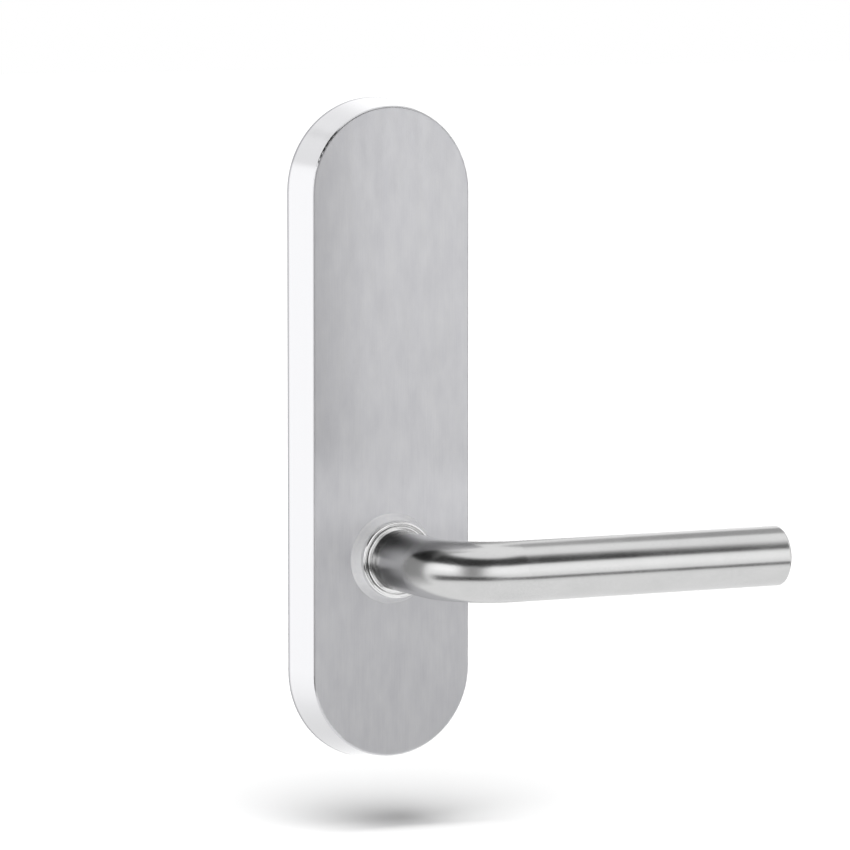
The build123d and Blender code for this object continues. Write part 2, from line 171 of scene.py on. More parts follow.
def satinPlateSteel():
    look = plateSteel
    finish, tree, shader, place = startFinish("satinPlateSteel", {
        "Metallic": 1.0, "Anisotropic": 0.6, "Anisotropic Rotation": 0.25})
    upright = addNode(tree, "ShaderNodeVectorTransform", {"Vector": (0, 0, 1)},
                      vector_type="VECTOR", convert_from="OBJECT", convert_to="WORLD")
    tree.links.new(upright.outputs["Vector"], shader.inputs["Tangent"])
    # real belt lines are 0.1 to 0.2 mm apart; drawn 0.5 mm so that they show
    across, along = 1 / (look["streakWidth"] * mm), 1 / (look["streakLength"] * mm)
    fineMap = addNode(tree, "ShaderNodeMapping", {"Vector": place, "Scale": (across, across, along)})
    fine = addNode(tree, "ShaderNodeTexNoise", {
        "Vector": fineMap.outputs["Vector"], "Scale": 1.0, "Detail": 4.0, "Roughness": 0.62})
    broadAcross, broadAlong = across / look["broadWidths"], along / look["broadLengths"]
    broadMap = addNode(tree, "ShaderNodeMapping", {
        "Vector": place, "Scale": (broadAcross, broadAcross, broadAlong)})
    broad = addNode(tree, "ShaderNodeTexNoise", {
        "Vector": broadMap.outputs["Vector"], "Scale": 1.0, "Detail": 2.0})
    streaks = addNode(tree, "ShaderNodeMix", {
        0: look["broadShare"], 2: fine.outputs["Fac"], 3: broad.outputs["Fac"]}, data_type="FLOAT")
    # uneven belt pressure leaves soft upright clouds
    cloudAcross, cloudAlong = 1 / (look["cloudWidth"] * mm), 1 / (look["cloudLength"] * mm)
    cloudMap = addNode(tree, "ShaderNodeMapping", {
        "Vector": place, "Scale": (cloudAcross, cloudAcross, cloudAlong)})
    cloud = addNode(tree, "ShaderNodeTexNoise", {
        "Vector": cloudMap.outputs["Vector"], "Scale": 1.0, "Detail": 3.0, "Roughness": 0.55})
    mottle = addNode(tree, "ShaderNodeMix", {
        0: look["cloudShare"], 2: streaks.outputs[0], 3: cloud.outputs["Fac"]}, data_type="FLOAT")
    tint, rough = dressSurface(
        tree, shader, look, mottle.outputs[0], streaks.outputs[0], fine.outputs["Fac"])
    # the polish is on everything behind the front edge radius, but not on what faces the door
    depth = addNode(tree, "ShaderNodeSeparateXYZ", {"Vector": place})
    facing = addNode(tree, "ShaderNodeSeparateXYZ", {"Vector": place.node.outputs["Normal"]})
    outer = addNode(tree, "ShaderNodeMapRange", {
        "Value": facing.outputs["Y"], "From Min": look["doorFacing"][0], "From Max": look["doorFacing"][1],
        "To Min": 1.0, "To Max": 0.0})
    behind = addNode(tree, "ShaderNodeMapRange", {
        "Value": depth.outputs["Y"],
        "From Min": look["wallDepth"][0] * mm, "From Max": look["wallDepth"][1] * mm})
    wall = addNode(tree, "ShaderNodeMath", {
        0: behind.outputs["Result"], 1: outer.outputs["Result"]}, operation="MULTIPLY")
    # painted shade: the last millimetre or so before the door side is tinted darker grey to draw a shaded
    # line along the back rim
    rim = addNode(tree, "ShaderNodeMapRange", {
        "Value": depth.outputs["Y"],
        "From Min": look["rimShadeDepth"][0] * mm, "From Max": look["rimShadeDepth"][1] * mm})
    wallTint = addNode(tree, "ShaderNodeMix", {
        0: wall.outputs["Value"], 6: tint, 7: hexLinear(look["wallTint"])}, data_type="RGBA")
    rimPaintedShade = addNode(tree, "ShaderNodeMix", {
        0: rim.outputs["Result"], 6: wallTint.outputs[2], 7: hexLinear(look["rimPaintedShade"])}, data_type="RGBA")
    shine = addNode(tree, "ShaderNodeMix", {
        0: wall.outputs["Value"], 2: rough, 3: look["wallRough"]}, data_type="FLOAT")
    tree.links.new(rimPaintedShade.outputs[2], shader.inputs["Base Color"])
    tree.links.new(shine.outputs[0], shader.inputs["Roughness"])
    return finish


# 304 stainless tube, satin polished on a wheel: clear soft bands along the bar under a fine even grain (mm)
barSteel = {
    "tints": ("#D2D2D2", "#DEDEDE"), "tintSpan": (0.36, 0.64), "rough": (0.18, 0.24),
    "roughSpan": (0.35, 0.65), "bump": 0.12, "bumpDeep": 0.04,
    "grain": 0.4, "wheelLength": 14, "wheelWidth": 9, "wheelShare": 0.4,
}


def satinBarSteel():
    look = barSteel
    finish, tree, shader, place = startFinish("satinBarSteel", {"Metallic": 1.0})
    # polishing grit leaves marks under 0.1 mm; drawn 0.4 mm so that they show
    fine = addNode(tree, "ShaderNodeTexNoise", {
        "Vector": place, "Scale": 1 / (look["grain"] * mm), "Detail": 5.0, "Roughness": 0.65})
    along, across = 1 / (look["wheelLength"] * mm), 1 / (look["wheelWidth"] * mm)
    wheelMap = addNode(tree, "ShaderNodeMapping", {"Vector": place, "Scale": (along, across, across)})
    wheel = addNode(tree, "ShaderNodeTexNoise", {
        "Vector": wheelMap.outputs["Vector"], "Scale": 1.0, "Detail": 3.0})
    marks = addNode(tree, "ShaderNodeMix", {
        0: look["wheelShare"], 2: fine.outputs["Fac"], 3: wheel.outputs["Fac"]}, data_type="FLOAT")
    dressSurface(tree, shader, look, marks.outputs[0], marks.outputs[0], fine.outputs["Fac"])
    return finish


# stainless bar turned and lightly polished: nearly bright, with faint rings from the tool (mm)
ringSteel = {
    "tints": ("#ECECEC", "#F6F6F6"), "tintSpan": (0.35, 0.65), "rough": (0.12, 0.18), "ringPitch": 0.3,
}


def turnedRingSteel():
    look = ringSteel
    finish, tree, shader, place = startFinish("turnedRingSteel", {
        "Metallic": 1.0, "Anisotropic": 0.4, "Anisotropic Rotation": 0.25})
    around = addNode(tree, "ShaderNodeTangent", direction_type="RADIAL", axis="Y")
    tree.links.new(around.outputs["Tangent"], shader.inputs["Tangent"])
    split = addNode(tree, "ShaderNodeSeparateXYZ", {"Vector": place})
    outward = addNode(tree, "ShaderNodeCombineXYZ", {"X": split.outputs["X"], "Y": split.outputs["Z"]})
    radius = addNode(tree, "ShaderNodeVectorMath", {0: outward.outputs["Vector"]}, operation="LENGTH")
    reach = addNode(tree, "ShaderNodeMath", {
        0: radius.outputs["Value"], 1: split.outputs["Y"]}, operation="ADD")
    # feed marks are about 0.1 mm apart; drawn 0.3 mm so that they show
    rings = addNode(tree, "ShaderNodeTexNoise", {
        "W": reach.outputs["Value"], "Scale": 1 / (look["ringPitch"] * mm), "Detail": 3.0},
        noise_dimensions="1D")
    dressSurface(tree, shader, look, rings.outputs["Fac"], rings.outputs["Fac"])
    return finish


# stainless ring turned to a cone and bead blasted: even and pale, with soft rings left around the neck (mm)
bossSteel = {
    "tints": ("#E6E6E8", "#F0F0F0"), "tintSpan": (0.35, 0.65), "rough": (0.6, 0.7),
    "ringPitch": 0.4, "bead": 1.5, "beadShare": 0.5,
}


def blastedBossSteel():
    look = bossSteel
    finish, tree, shader, place = startFinish("blastedBossSteel", {"Metallic": 1.0})
    height = addNode(tree, "ShaderNodeSeparateXYZ", {"Vector": place})
    # feed marks are about 0.15 mm apart and bead dents 0.1 mm wide; drawn 0.4 and 1.5 mm so that they show
    rings = addNode(tree, "ShaderNodeTexNoise", {
        "W": height.outputs["Y"], "Scale": 1 / (look["ringPitch"] * mm), "Detail": 3.0},
        noise_dimensions="1D")
    beads = addNode(tree, "ShaderNodeTexNoise", {
        "Vector": place, "Scale": 1 / (look["bead"] * mm), "Detail": 4.0})
    marks = addNode(tree, "ShaderNodeMix", {
        0: look["beadShare"], 2: rings.outputs["Fac"], 3: beads.outputs["Fac"]}, data_type="FLOAT")
    dressSurface(tree, shader, look, marks.outputs[0], marks.outputs[0])
    return finish


# electro-galvanised steel sheet: blue-grey, faintly clouded, with the long marks of the rolls (mm)
sheetZinc = {
    "tints": ("#A9ADB2", "#C3C6C9"), "tintSpan": (0.32, 0.68), "rough": (0.3, 0.46),
    "bump": 0.05, "bumpDeep": 0.05, "cloud": 9, "rollWidth": 0.6, "rollLength": 30, "rollShare": 0.45,
}


def galvanisedSheet():
    look = sheetZinc
    finish, tree, shader, place = startFinish("galvanisedSheet", {"Metallic": 1.0})
    cloud = addNode(tree, "ShaderNodeTexNoise", {
        "Vector": place, "Scale": 1 / (look["cloud"] * mm), "Detail": 4.0, "Roughness": 0.6})
    # rolling marks are about 0.1 mm wide; drawn 0.6 mm so that they show
    across, along = 1 / (look["rollWidth"] * mm), 1 / (look["rollLength"] * mm)
    rollMap = addNode(tree, "ShaderNodeMapping", {"Vector": place, "Scale": (across, across, along)})
    roll = addNode(tree, "ShaderNodeTexNoise", {
        "Vector": rollMap.outputs["Vector"], "Scale": 1.0, "Detail": 3.0})
    marks = addNode(tree, "ShaderNodeMix", {
        0: look["rollShare"], 2: cloud.outputs["Fac"], 3: roll.outputs["Fac"]}, data_type="FLOAT")
    dressSurface(tree, shader, look, marks.outputs[0], cloud.outputs["Fac"], roll.outputs["Fac"])
    return finish


# bright zinc plating on turned and pressed fixings: silvery, with a slight drift from blue to straw (mm)
boltZinc = {
    "tints": ("#BFC6CE", "#CFCBBE"), "tintSpan": (0.35, 0.7), "rough": (0.22, 0.34),
    "bump": 0.05, "bumpDeep": 0.03, "drift": 5, "pit": 0.35,
}


def brightZincPlate():
    look = boltZinc
    finish, tree, shader, place = startFinish("brightZincPlate", {"Metallic": 1.0})
    drift = addNode(tree, "ShaderNodeTexNoise", {
        "Vector": place, "Scale": 1 / (look["drift"] * mm), "Detail": 2.0})
    pits = addNode(tree, "ShaderNodeTexNoise", {
        "Vector": place, "Scale": 1 / (look["pit"] * mm), "Detail": 3.0})
    dressSurface(tree, shader, look, drift.outputs["Fac"], pits.outputs["Fac"], pits.outputs["Fac"])
    return finish


# free-cutting steel straight from the lathe: warm grey, with tool rings around the spindle axis (mm)
stemSteel = {
    "tints": ("#A5A19B", "#C2BFBA"), "tintSpan": (0.35, 0.65), "rough": (0.28, 0.42),
    "bump": 0.08, "bumpDeep": 0.05, "feed": 0.4, "markLength": 6,
}


def machinedSteel():
    look = stemSteel
    finish, tree, shader, place = startFinish("machinedSteel", {"Metallic": 1.0})
    # feed marks are about 0.15 mm apart; drawn 0.4 mm so that they show
    across, along = 1 / (look["feed"] * mm), 1 / (look["markLength"] * mm)
    feedMap = addNode(tree, "ShaderNodeMapping", {"Vector": place, "Scale": (along, across, along)})
    feed = addNode(tree, "ShaderNodeTexNoise", {
        "Vector": feedMap.outputs["Vector"], "Scale": 1.0, "Detail": 3.0})
    dressSurface(tree, shader, look, feed.outputs["Fac"], feed.outputs["Fac"], feed.outputs["Fac"])
    return finish


# oil-tempered spring wire: dark grey with a thin brown-blue oxide and a film of oil (mm)
wireSteel = {
    "tints": ("#5B5A5B", "#7C7874"), "tintSpan": (0.35, 0.68), "rough": (0.26, 0.42),
    "bump": 0.06, "bumpDeep": 0.03, "oxide": 3.5, "scratch": 0.3,
}


def temperedWire():
    look = wireSteel
    finish, tree, shader, place = startFinish("temperedWire", {
        "Metallic": 1.0, "Coat Weight": 0.25, "Coat Roughness": 0.25})
    oxide = addNode(tree, "ShaderNodeTexNoise", {
        "Vector": place, "Scale": 1 / (look["oxide"] * mm), "Detail": 4.0})
    scratch = addNode(tree, "ShaderNodeTexNoise", {
        "Vector": place, "Scale": 1 / (look["scratch"] * mm), "Detail": 4.0})
    dressSurface(tree, shader, look, oxide.outputs["Fac"], scratch.outputs["Fac"], scratch.outputs["Fac"])
    return finish


# black oxide on alloy steel: near black, a soft shine with greyer and smoother worn patches (mm)
screwBlack = {
    "tints": ("#1B1B1D", "#3A3938"), "tintSpan": (0.45, 0.75), "rough": (0.52, 0.34), "patch": 1.2,
}


def blackOxide():
    look = screwBlack
    finish, tree, shader, place = startFinish("blackOxide", {"Metallic": 0.6})
    patch = addNode(tree, "ShaderNodeTexNoise", {
        "Vector": place, "Scale": 1 / (look["patch"] * mm), "Detail": 4.0})
    dressSurface(tree, shader, look, patch.outputs["Fac"], patch.outputs["Fac"])
    return finish


# cold-drawn square bar, bright: straight die lines along its length (mm)
squareBar = {
    "tints": ("#B1B1B3", "#CDCDCE"), "tintSpan": (0.35, 0.65), "rough": (0.24, 0.36),
    "bump": 0.06, "bumpDeep": 0.05, "dieLine": 0.4, "lineLength": 40,
}


def drawnBar():
    look = squareBar
    finish, tree, shader, place = startFinish("drawnBar", {"Metallic": 1.0})
    # die lines are about 0.1 mm wide; drawn 0.4 mm so that they show
    across, along = 1 / (look["dieLine"] * mm), 1 / (look["lineLength"] * mm)
    lineMap = addNode(tree, "ShaderNodeMapping", {"Vector": place, "Scale": (across, along, across)})
    lines = addNode(tree, "ShaderNodeTexNoise", {
        "Vector": lineMap.outputs["Vector"], "Scale": 1.0, "Detail": 3.0})
    dressSurface(tree, shader, look, lines.outputs["Fac"], lines.outputs["Fac"], lines.outputs["Fac"])
    return finish


# natural acetal, moulded: milky white, slightly waxy, light goes a little way in (mm)
bushAcetal = {
    "tints": ("#DCDACF", "#EBE9E1"), "tintSpan": (0.35, 0.7), "rough": (0.32, 0.46), "flow": 4,
    "lightDepth": 0.8, "lightReach": (1.0, 0.9, 0.7),
}


def naturalAcetal():
    look = bushAcetal
    finish, tree, shader, place = startFinish("naturalAcetal", {
        "IOR": 1.48, "Subsurface Weight": 0.2, "Subsurface Radius": look["lightReach"],
        "Subsurface Scale": look["lightDepth"] * mm})
    flow = addNode(tree, "ShaderNodeTexNoise", {
        "Vector": place, "Scale": 1 / (look["flow"] * mm), "Detail": 3.0})
    dressSurface(tree, shader, look, flow.outputs["Fac"], flow.outputs["Fac"])
    return finish


finishes = {
    "plate": satinPlateSteel(), "bar": satinBarSteel(), "ring": turnedRingSteel(),
    "boss": blastedBossSteel(), "sheet": galvanisedSheet(), "zinc": brightZincPlate(),
    "stem": machinedSteel(), "wire": temperedWire(), "black": blackOxide(), "square": drawnBar(),
    "acetal": naturalAcetal(),
}
wearers = {
    "plate": ["cover_plate"],
    "bar": ["lever_tube", "lever_end_cap"],
    "ring": ["bearing_collar", "neck_ring"],
    "boss": ["boss_ring"],
    "sheet": ["chassis_plate", "spring_driver"],
    "zinc": ["stud_washers", "stud_nuts", "upper_fixing_post", "lower_fixing_post", "collar_nut",
             "rest_stop_pin", "travel_stop_pin", "thrust_washer"],
    "stem": ["weld_studs", "lever_stem"],
    "wire": ["return_spring", "circlip"],
    "black": ["grub_screw"],
    "square": ["spindle"],
    "acetal": ["neck_bush"],
}
for finishName, wornBy in wearers.items():
    for nodeName in wornBy:
        for slot in nodes[nodeName].material_slots:
            slot.material = finishes[finishName]
print("finishes:", len(finishes))


def startTree(name, sizes):  # a geometry tree whose sizes are named inputs
    tree = bpy.data.node_groups.new(name, "GeometryNodeTree")
    tree.is_modifier = True
    tree.interface.new_socket(name="Geometry", in_out="INPUT", socket_type="NodeSocketGeometry")
    tree.interface.new_socket(name="Geometry", in_out="OUTPUT", socket_type="NodeSocketGeometry")
    for label in sizes:
        tree.interface.new_socket(name=label, in_out="INPUT", socket_type="NodeSocketFloat")
    return tree, tree.nodes.new("NodeGroupInput").outputs


def endTree(tree, geometry, finish):
    whole = addNode(tree, "GeometryNodeRealizeInstances", {"Geometry": geometry})
    dressed = addNode(tree, "GeometryNodeSetMaterial", {
        "Geometry": whole.outputs["Geometry"], "Material": finish})
    addNode(tree, "NodeGroupOutput", {"Geometry": dressed.outputs["Geometry"]})


def growPiece(name, tree, sizes, points, creaseAngle):  # runs the tree and keeps the plain mesh
    line = bpy.data.meshes.new(name + "Line")
    line.from_pydata(points, [(k, k + 1) for k in range(len(points) - 1)], [])
    maker = bpy.data.objects.new(name + "Maker", line)
    scene.collection.objects.link(maker)
    steps = maker.modifiers.new("shape", "NODES")
    steps.node_group = tree
    for socket in tree.interface.items_tree:
        if socket.in_out == "INPUT" and socket.name in sizes:
            steps[socket.identifier] = float(sizes[socket.name])
    bpy.context.view_layer.update()
    mesh = bpy.data.meshes.new_from_object(maker.evaluated_get(bpy.context.evaluated_depsgraph_get()))
    maker.modifiers.remove(steps)
    bpy.data.objects.remove(maker)
    mesh.name = name
    mesh.shade_smooth()
    mesh.set_sharp_from_angle(angle=math.radians(creaseAngle))
    piece = bpy.data.objects.new(name, mesh)
    scene.collection.objects.link(piece)
    return piece


# return spring, in the solid's own measures (mm and degrees): a leg, a small bend, two turns downwards,
# a small bend and the other leg; heights are from the door, and the coil winds from "windFrom" to "windTo"
springSizes = {
    "wire": 2.0, "wireSides": 20,
    "coilRadius": 16.3, "coilStart": 97.95, "coilSweep": 735.9, "coilSteps": 160,
    "legSide": 5.1, "legTurn": 18.62, "legEnd": 22.82, "bendRadius": 2.5, "bendSteps": 14,
    "upper": 10.264, "lower": 4.54, "windFrom": 9.25, "windTo": 5.55, "creaseAngle": 50,
}


def arcPoints(centre, radius, start, sweep, steps, heights):  # even steps round an arc that may go down
    points = []
    for k in range(steps + 1):
        angle = math.radians(start + sweep * k / steps)
        height = heights[0] + (heights[1] - heights[0]) * k / steps
        points.append((centre[0] + radius * math.cos(angle), centre[1] + radius * math.sin(angle), height))
    return points


def returnSpring():
    size = springSizes
    upper, lower = size["upper"], size["lower"]
    bendRadius, bendSteps = size["bendRadius"], size["bendSteps"]
    bendSide, legTurn = size["legSide"] - bendRadius, size["legTurn"]
    bendSweep = size["coilStart"]  # a bend turns each leg into the line of the coil
    upperEnd = (-size["legSide"], size["legEnd"], upper)
    upperBend = arcPoints((-bendSide, legTurn), bendRadius, 180, bendSweep, bendSteps, (upper, upper))
    coil = arcPoints(
        (0, 0), size["coilRadius"], size["coilStart"], -size["coilSweep"], size["coilSteps"], (upper, lower))
    lowerBend = arcPoints(
        (bendSide, legTurn), bendRadius, 360 - bendSweep, bendSweep, bendSteps, (lower, lower))
    lowerEnd = (size["legSide"], size["legEnd"], lower)
    route = [upperEnd, *upperBend, *coil[1:-1], *lowerBend, lowerEnd]
    sizes = {"wireRadius": size["wire"] / 2 * mm}
    tree, socket = startTree("springWire", sizes)
    line = addNode(tree, "GeometryNodeMeshToCurve", {"Mesh": socket["Geometry"]})
    section = addNode(tree, "GeometryNodeCurvePrimitiveCircle", {
        "Resolution": size["wireSides"], "Radius": socket["wireRadius"]})
    wire = addNode(tree, "GeometryNodeCurveToMesh", {
        "Curve": line.outputs["Curve"], "Profile Curve": section.outputs["Curve"], "Fill Caps": True})
    endTree(tree, wire.outputs["Mesh"], finishes["wire"])
    points = [(across * mm, -height * mm, up * mm) for across, up, height in route]
    spring = growPiece("returnSpring", tree, sizes, points, size["creaseAngle"])
    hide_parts("return_spring")
    # the upper leg stays with the plate and the lower one goes round with the driver
    windFrom, windTo = -size["windFrom"] * mm, -size["windTo"] * mm
    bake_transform(spring, "plate", "lever", start=(0, windFrom, 0), end=(0, windTo, 0))
    return spring


# six M4 weld studs (mm): flange against the cover, rolled thread towards the door; "tip" and "top" are
# heights from the door, and the thread's foot takes "footShare" of the pitch to each side
studSizes = {
    "core": 1.6, "coreSides": 28, "crest": 1.99, "pitch": 0.7, "footShare": 0.45, "turnSteps": 24,
    "tip": 6.204, "top": 13.004, "flange": 2.75, "flangeThick": 0.7, "flangeSides": 40,
    "columns": 2, "acrossGap": 32, "rows": 3, "upGap": 66, "middle": 40, "creaseAngle": 30,
}


def threadedStuds():
    size = studSizes
    low, high = size["tip"] * mm, (size["top"] - size["flangeThick"]) * mm
    pitch, shank = size["pitch"] * mm, high - low
    sizes = {
        "core": size["core"] * mm, "ridge": 2 * (size["crest"] - size["core"]) * mm,
        "foot": size["footShare"] * pitch, "shank": shank, "turns": (shank - pitch) / pitch,
        "flange": size["flange"] * mm, "flangeThick": size["flangeThick"] * mm,
        "acrossSpan": (size["columns"] - 1) * size["acrossGap"] * mm,
        "upSpan": (size["rows"] - 1) * size["upGap"] * mm,
    }
    tree, socket = startTree("studRows", sizes)
    core = addNode(tree, "GeometryNodeMeshCylinder", {
        "Vertices": size["coreSides"], "Radius": socket["core"], "Depth": socket["shank"]})
    coreUp = addNode(tree, "GeometryNodeTransform", {
        "Geometry": core.outputs["Mesh"], "Translation": (0, 0, (low + high) / 2)})
    spiral = addNode(tree, "GeometryNodeCurveSpiral", {
        "Resolution": size["turnSteps"], "Rotations": socket["turns"], "Start Radius": socket["core"],
        "End Radius": socket["core"], "Height": socket["shank"]})
    levelSpiral = addNode(tree, "GeometryNodeSetCurveNormal", {
        "Curve": spiral.outputs["Curve"]}, mode="Z_UP")
    ridge = addNode(tree, "GeometryNodeCurvePrimitiveQuadrilateral", {
        "Width": socket["ridge"], "Bottom Height": socket["foot"], "Top Height": socket["foot"]},
        mode="KITE")
    thread = addNode(tree, "GeometryNodeCurveToMesh", {
        "Curve": levelSpiral.outputs["Curve"], "Profile Curve": ridge.outputs["Curve"], "Fill Caps": True})
    threadUp = addNode(tree, "GeometryNodeTransform", {
        "Geometry": thread.outputs["Mesh"], "Translation": (0, 0, low + pitch / 2)})
    flange = addNode(tree, "GeometryNodeMeshCylinder", {
        "Vertices": size["flangeSides"], "Radius": socket["flange"], "Depth": socket["flangeThick"]})
    flangeUp = addNode(tree, "GeometryNodeTransform", {
        "Geometry": flange.outputs["Mesh"],
        "Translation": (0, 0, (size["top"] - size["flangeThick"] / 2) * mm)})
    stud = addNode(tree, "GeometryNodeJoinGeometry")
    for part in (coreUp, threadUp, flangeUp):
        tree.links.new(part.outputs["Geometry"], stud.inputs["Geometry"])
    rows = addNode(tree, "GeometryNodeMeshGrid", {
        "Size X": socket["acrossSpan"], "Size Y": socket["upSpan"],
        "Vertices X": size["columns"], "Vertices Y": size["rows"]})
    raised = addNode(tree, "GeometryNodeTransform", {
        "Geometry": rows.outputs["Mesh"], "Translation": (0, size["middle"] * mm, 0)})
    planted = addNode(tree, "GeometryNodeInstanceOnPoints", {
        "Points": raised.outputs["Geometry"], "Instance": stud.outputs["Geometry"]})
    upright = addNode(tree, "GeometryNodeTransform", {
        "Geometry": planted.outputs["Instances"], "Rotation": (math.pi / 2, 0, 0)})
    endTree(tree, upright.outputs["Geometry"], finishes["stem"])
    studs = growPiece("threadedStuds", tree, sizes, [(0, 0, 0)], size["creaseAngle"])
    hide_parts("weld_studs")
    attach(studs, "plate")
    return studs


for piece in (returnSpring(), threadedStuds()):
    print("piece:", piece.name, len(piece.data.polygons), "faces")

# camera: 26 degrees to the left of the plate and 5.6 above, fitted to the edges of the plate and the bar
view = {
    "azimuth": 25.9, "elevation": 5.58, "distance": 1.7, "aim": (0.01168, -0.0145, 0.04192),
    "lens": 227.2, "sensor": 36,
}
turn, lift = math.radians(view["azimuth"]), math.radians(view["elevation"])
towardsLens = Vector((-math.sin(turn) * math.cos(lift), -math.cos(turn) * math.cos(lift), math.sin(lift)))
cameraData = bpy.data.cameras.new("photoCamera")
cameraData.lens = view["lens"]
cameraData.sensor_width = view["sensor"]
cameraData.sensor_fit = "HORIZONTAL"
camera = bpy.data.objects.new("photoCamera", cameraData)
camera.location = Vector(view["aim"]) + view["distance"] * towardsLens
camera.rotation_euler = (Vector(view["aim"]) - camera.location).to_track_quat("-Z", "Y").to_euler()
scene.collection.objects.link(camera)
scene.camera = camera

# white studio: the air shows white to the lens and in the metal, and lights the object only a little;
# one wide lamp leans in from above, in degrees ("floorDrop" in mm, "floorSize" in m)
studio = {
    "ambient": 0.02, "topLight": 1.25, "topSpread": 58, "topTilt": 23, "topTurn": -42,
    "floorDrop": -87.5, "floorSize": 14, "floorColour": "#FCFCFC",
}
world = bpy.data.worlds.new("whiteStudio")
scene.world = world
world.use_nodes = True
sky = world.node_tree
sky.nodes.clear()
rays = addNode(sky, "ShaderNodeLightPath").outputs
seen = addNode(sky, "ShaderNodeMath", {0: rays["Is Camera Ray"], 1: rays["Is Glossy Ray"]}, operation="ADD")
shown = addNode(sky, "ShaderNodeMath", {0: seen.outputs[0], 1: rays["Is Transmission Ray"]},
                operation="ADD", use_clamp=True)
strength = addNode(sky, "ShaderNodeMapRange", {
    "Value": shown.outputs[0], "To Min": studio["ambient"], "To Max": 1.0})
air = addNode(sky, "ShaderNodeBackground", {"Color": (1, 1, 1, 1), "Strength": strength.outputs["Result"]})
addNode(sky, "ShaderNodeOutputWorld", {"Surface": air.outputs["Background"]})

fixedPieces = bpy.data.collections.new("fixedPieces")
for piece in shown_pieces():
    if body_of(piece) != ["lever"]:
        fixedPieces.objects.link(piece)

topData = bpy.data.lights.new("topLight", "SUN")
topData.energy = studio["topLight"] * math.pi
topData.angle = math.radians(studio["topSpread"])
topLamp = bpy.data.objects.new("topLight", topData)
topLamp.location = (0, 0, 1)
topLamp.rotation_euler = (math.radians(studio["topTilt"]), 0, math.radians(studio["topTurn"]))
topLamp.visible_glossy = False  # it lights and shades the floor; the metal sees the cards
topLamp.light_linking.blocker_collection = fixedPieces  # only the plate shades the floor
scene.collection.objects.link(topLamp)

# small fills (m), each for the pieces that it names alone: barFill and neckFill stand where the bar and the
# neck are, and give back to the cover's face the light that these keep from it; the other two light the
# boss ring from above and from low left
fills = {
    "barFill": {"place": (0.054, -0.0525, 0.0), "towards": (0, 1, 0), "wide": 0.118, "tall": 0.019,
                "glow": 0.75, "lights": ("cover_plate", "boss_ring")},
    "neckFill": {"place": (-0.0097, -0.034, 0.0), "towards": (-1, 0, 0), "wide": 0.03, "tall": 0.019,
                 "glow": 0.25, "lights": ("cover_plate", "boss_ring")},
    "bossTopFill": {"place": (-0.05, 0.0, 0.075), "towards": (0, -0.2, -1), "wide": 0.19, "tall": 0.06,
                    "glow": 0.42, "lights": ("boss_ring",)},
    "bossSideFill": {"place": (-0.09, -0.012, -0.045), "towards": (1, 0, 0.45), "wide": 0.08, "tall": 0.1,
                     "glow": 0.5, "lights": ("boss_ring",)},
}
for fillName, fill in fills.items():
    filled = bpy.data.collections.new(fillName + "Pieces")
    for nodeName in fill["lights"]:
        filled.objects.link(nodes[nodeName])
    fillData = bpy.data.lights.new(fillName, "AREA")
    fillData.shape = "RECTANGLE"
    fillData.size = fill["wide"]
    fillData.size_y = fill["tall"]
    fillData.energy = fill["glow"] * math.pi * fill["wide"] * fill["tall"]
    fillLamp = bpy.data.objects.new(fillName, fillData)
    fillLamp.location = fill["place"]
    fillLamp.rotation_euler = Vector(fill["towards"]).to_track_quat("-Z", "Y").to_euler()
    fillLamp.visible_camera = False
    fillLamp.light_linking.receiver_collection = filled
    fillLamp.light_linking.blocker_collection = filled
    scene.collection.objects.link(fillLamp)


def stageSheet(name, rows, finish):  # a sheet over rows of points, with its own map from 0 to 1
    steps, lifts = len(rows[0]) - 1, len(rows) - 1
    corners = [((k, r), (k + 1, r), (k + 1, r + 1), (k, r + 1)) for r in range(lifts) for k in range(steps)]
    faces = [[r * (steps + 1) + k for k, r in face] for face in corners]
    mesh = bpy.data.meshes.new(name)
    mesh.from_pydata([point for row in rows for point in row], [], faces)
    sheetMap = mesh.uv_layers.new(name="sheetMap")
    for loop, (k, r) in enumerate(corner for face in corners for corner in face):
        sheetMap.data[loop].uv = (k / steps, r / lifts)
    mesh.shade_smooth()
    mesh.materials.append(finish)
    sheet = bpy.data.objects.new(name, mesh)
    scene.collection.objects.link(sheet)
    sheet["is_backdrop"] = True
    return sheet


floorFinish = startFinish("paleFloor", {
    "Base Color": hexLinear(studio["floorColour"]), "Roughness": 0.9, "Specular IOR Level": 0.0})[0]
half, floorZ = studio["floorSize"] / 2, studio["floorDrop"] * mm
floor = stageSheet("floor", [[(x, y, floorZ) for x in (-half, half)] for y in (-half, half)], floorFinish)
floor.visible_glossy = False  # the metal sees the cards below instead

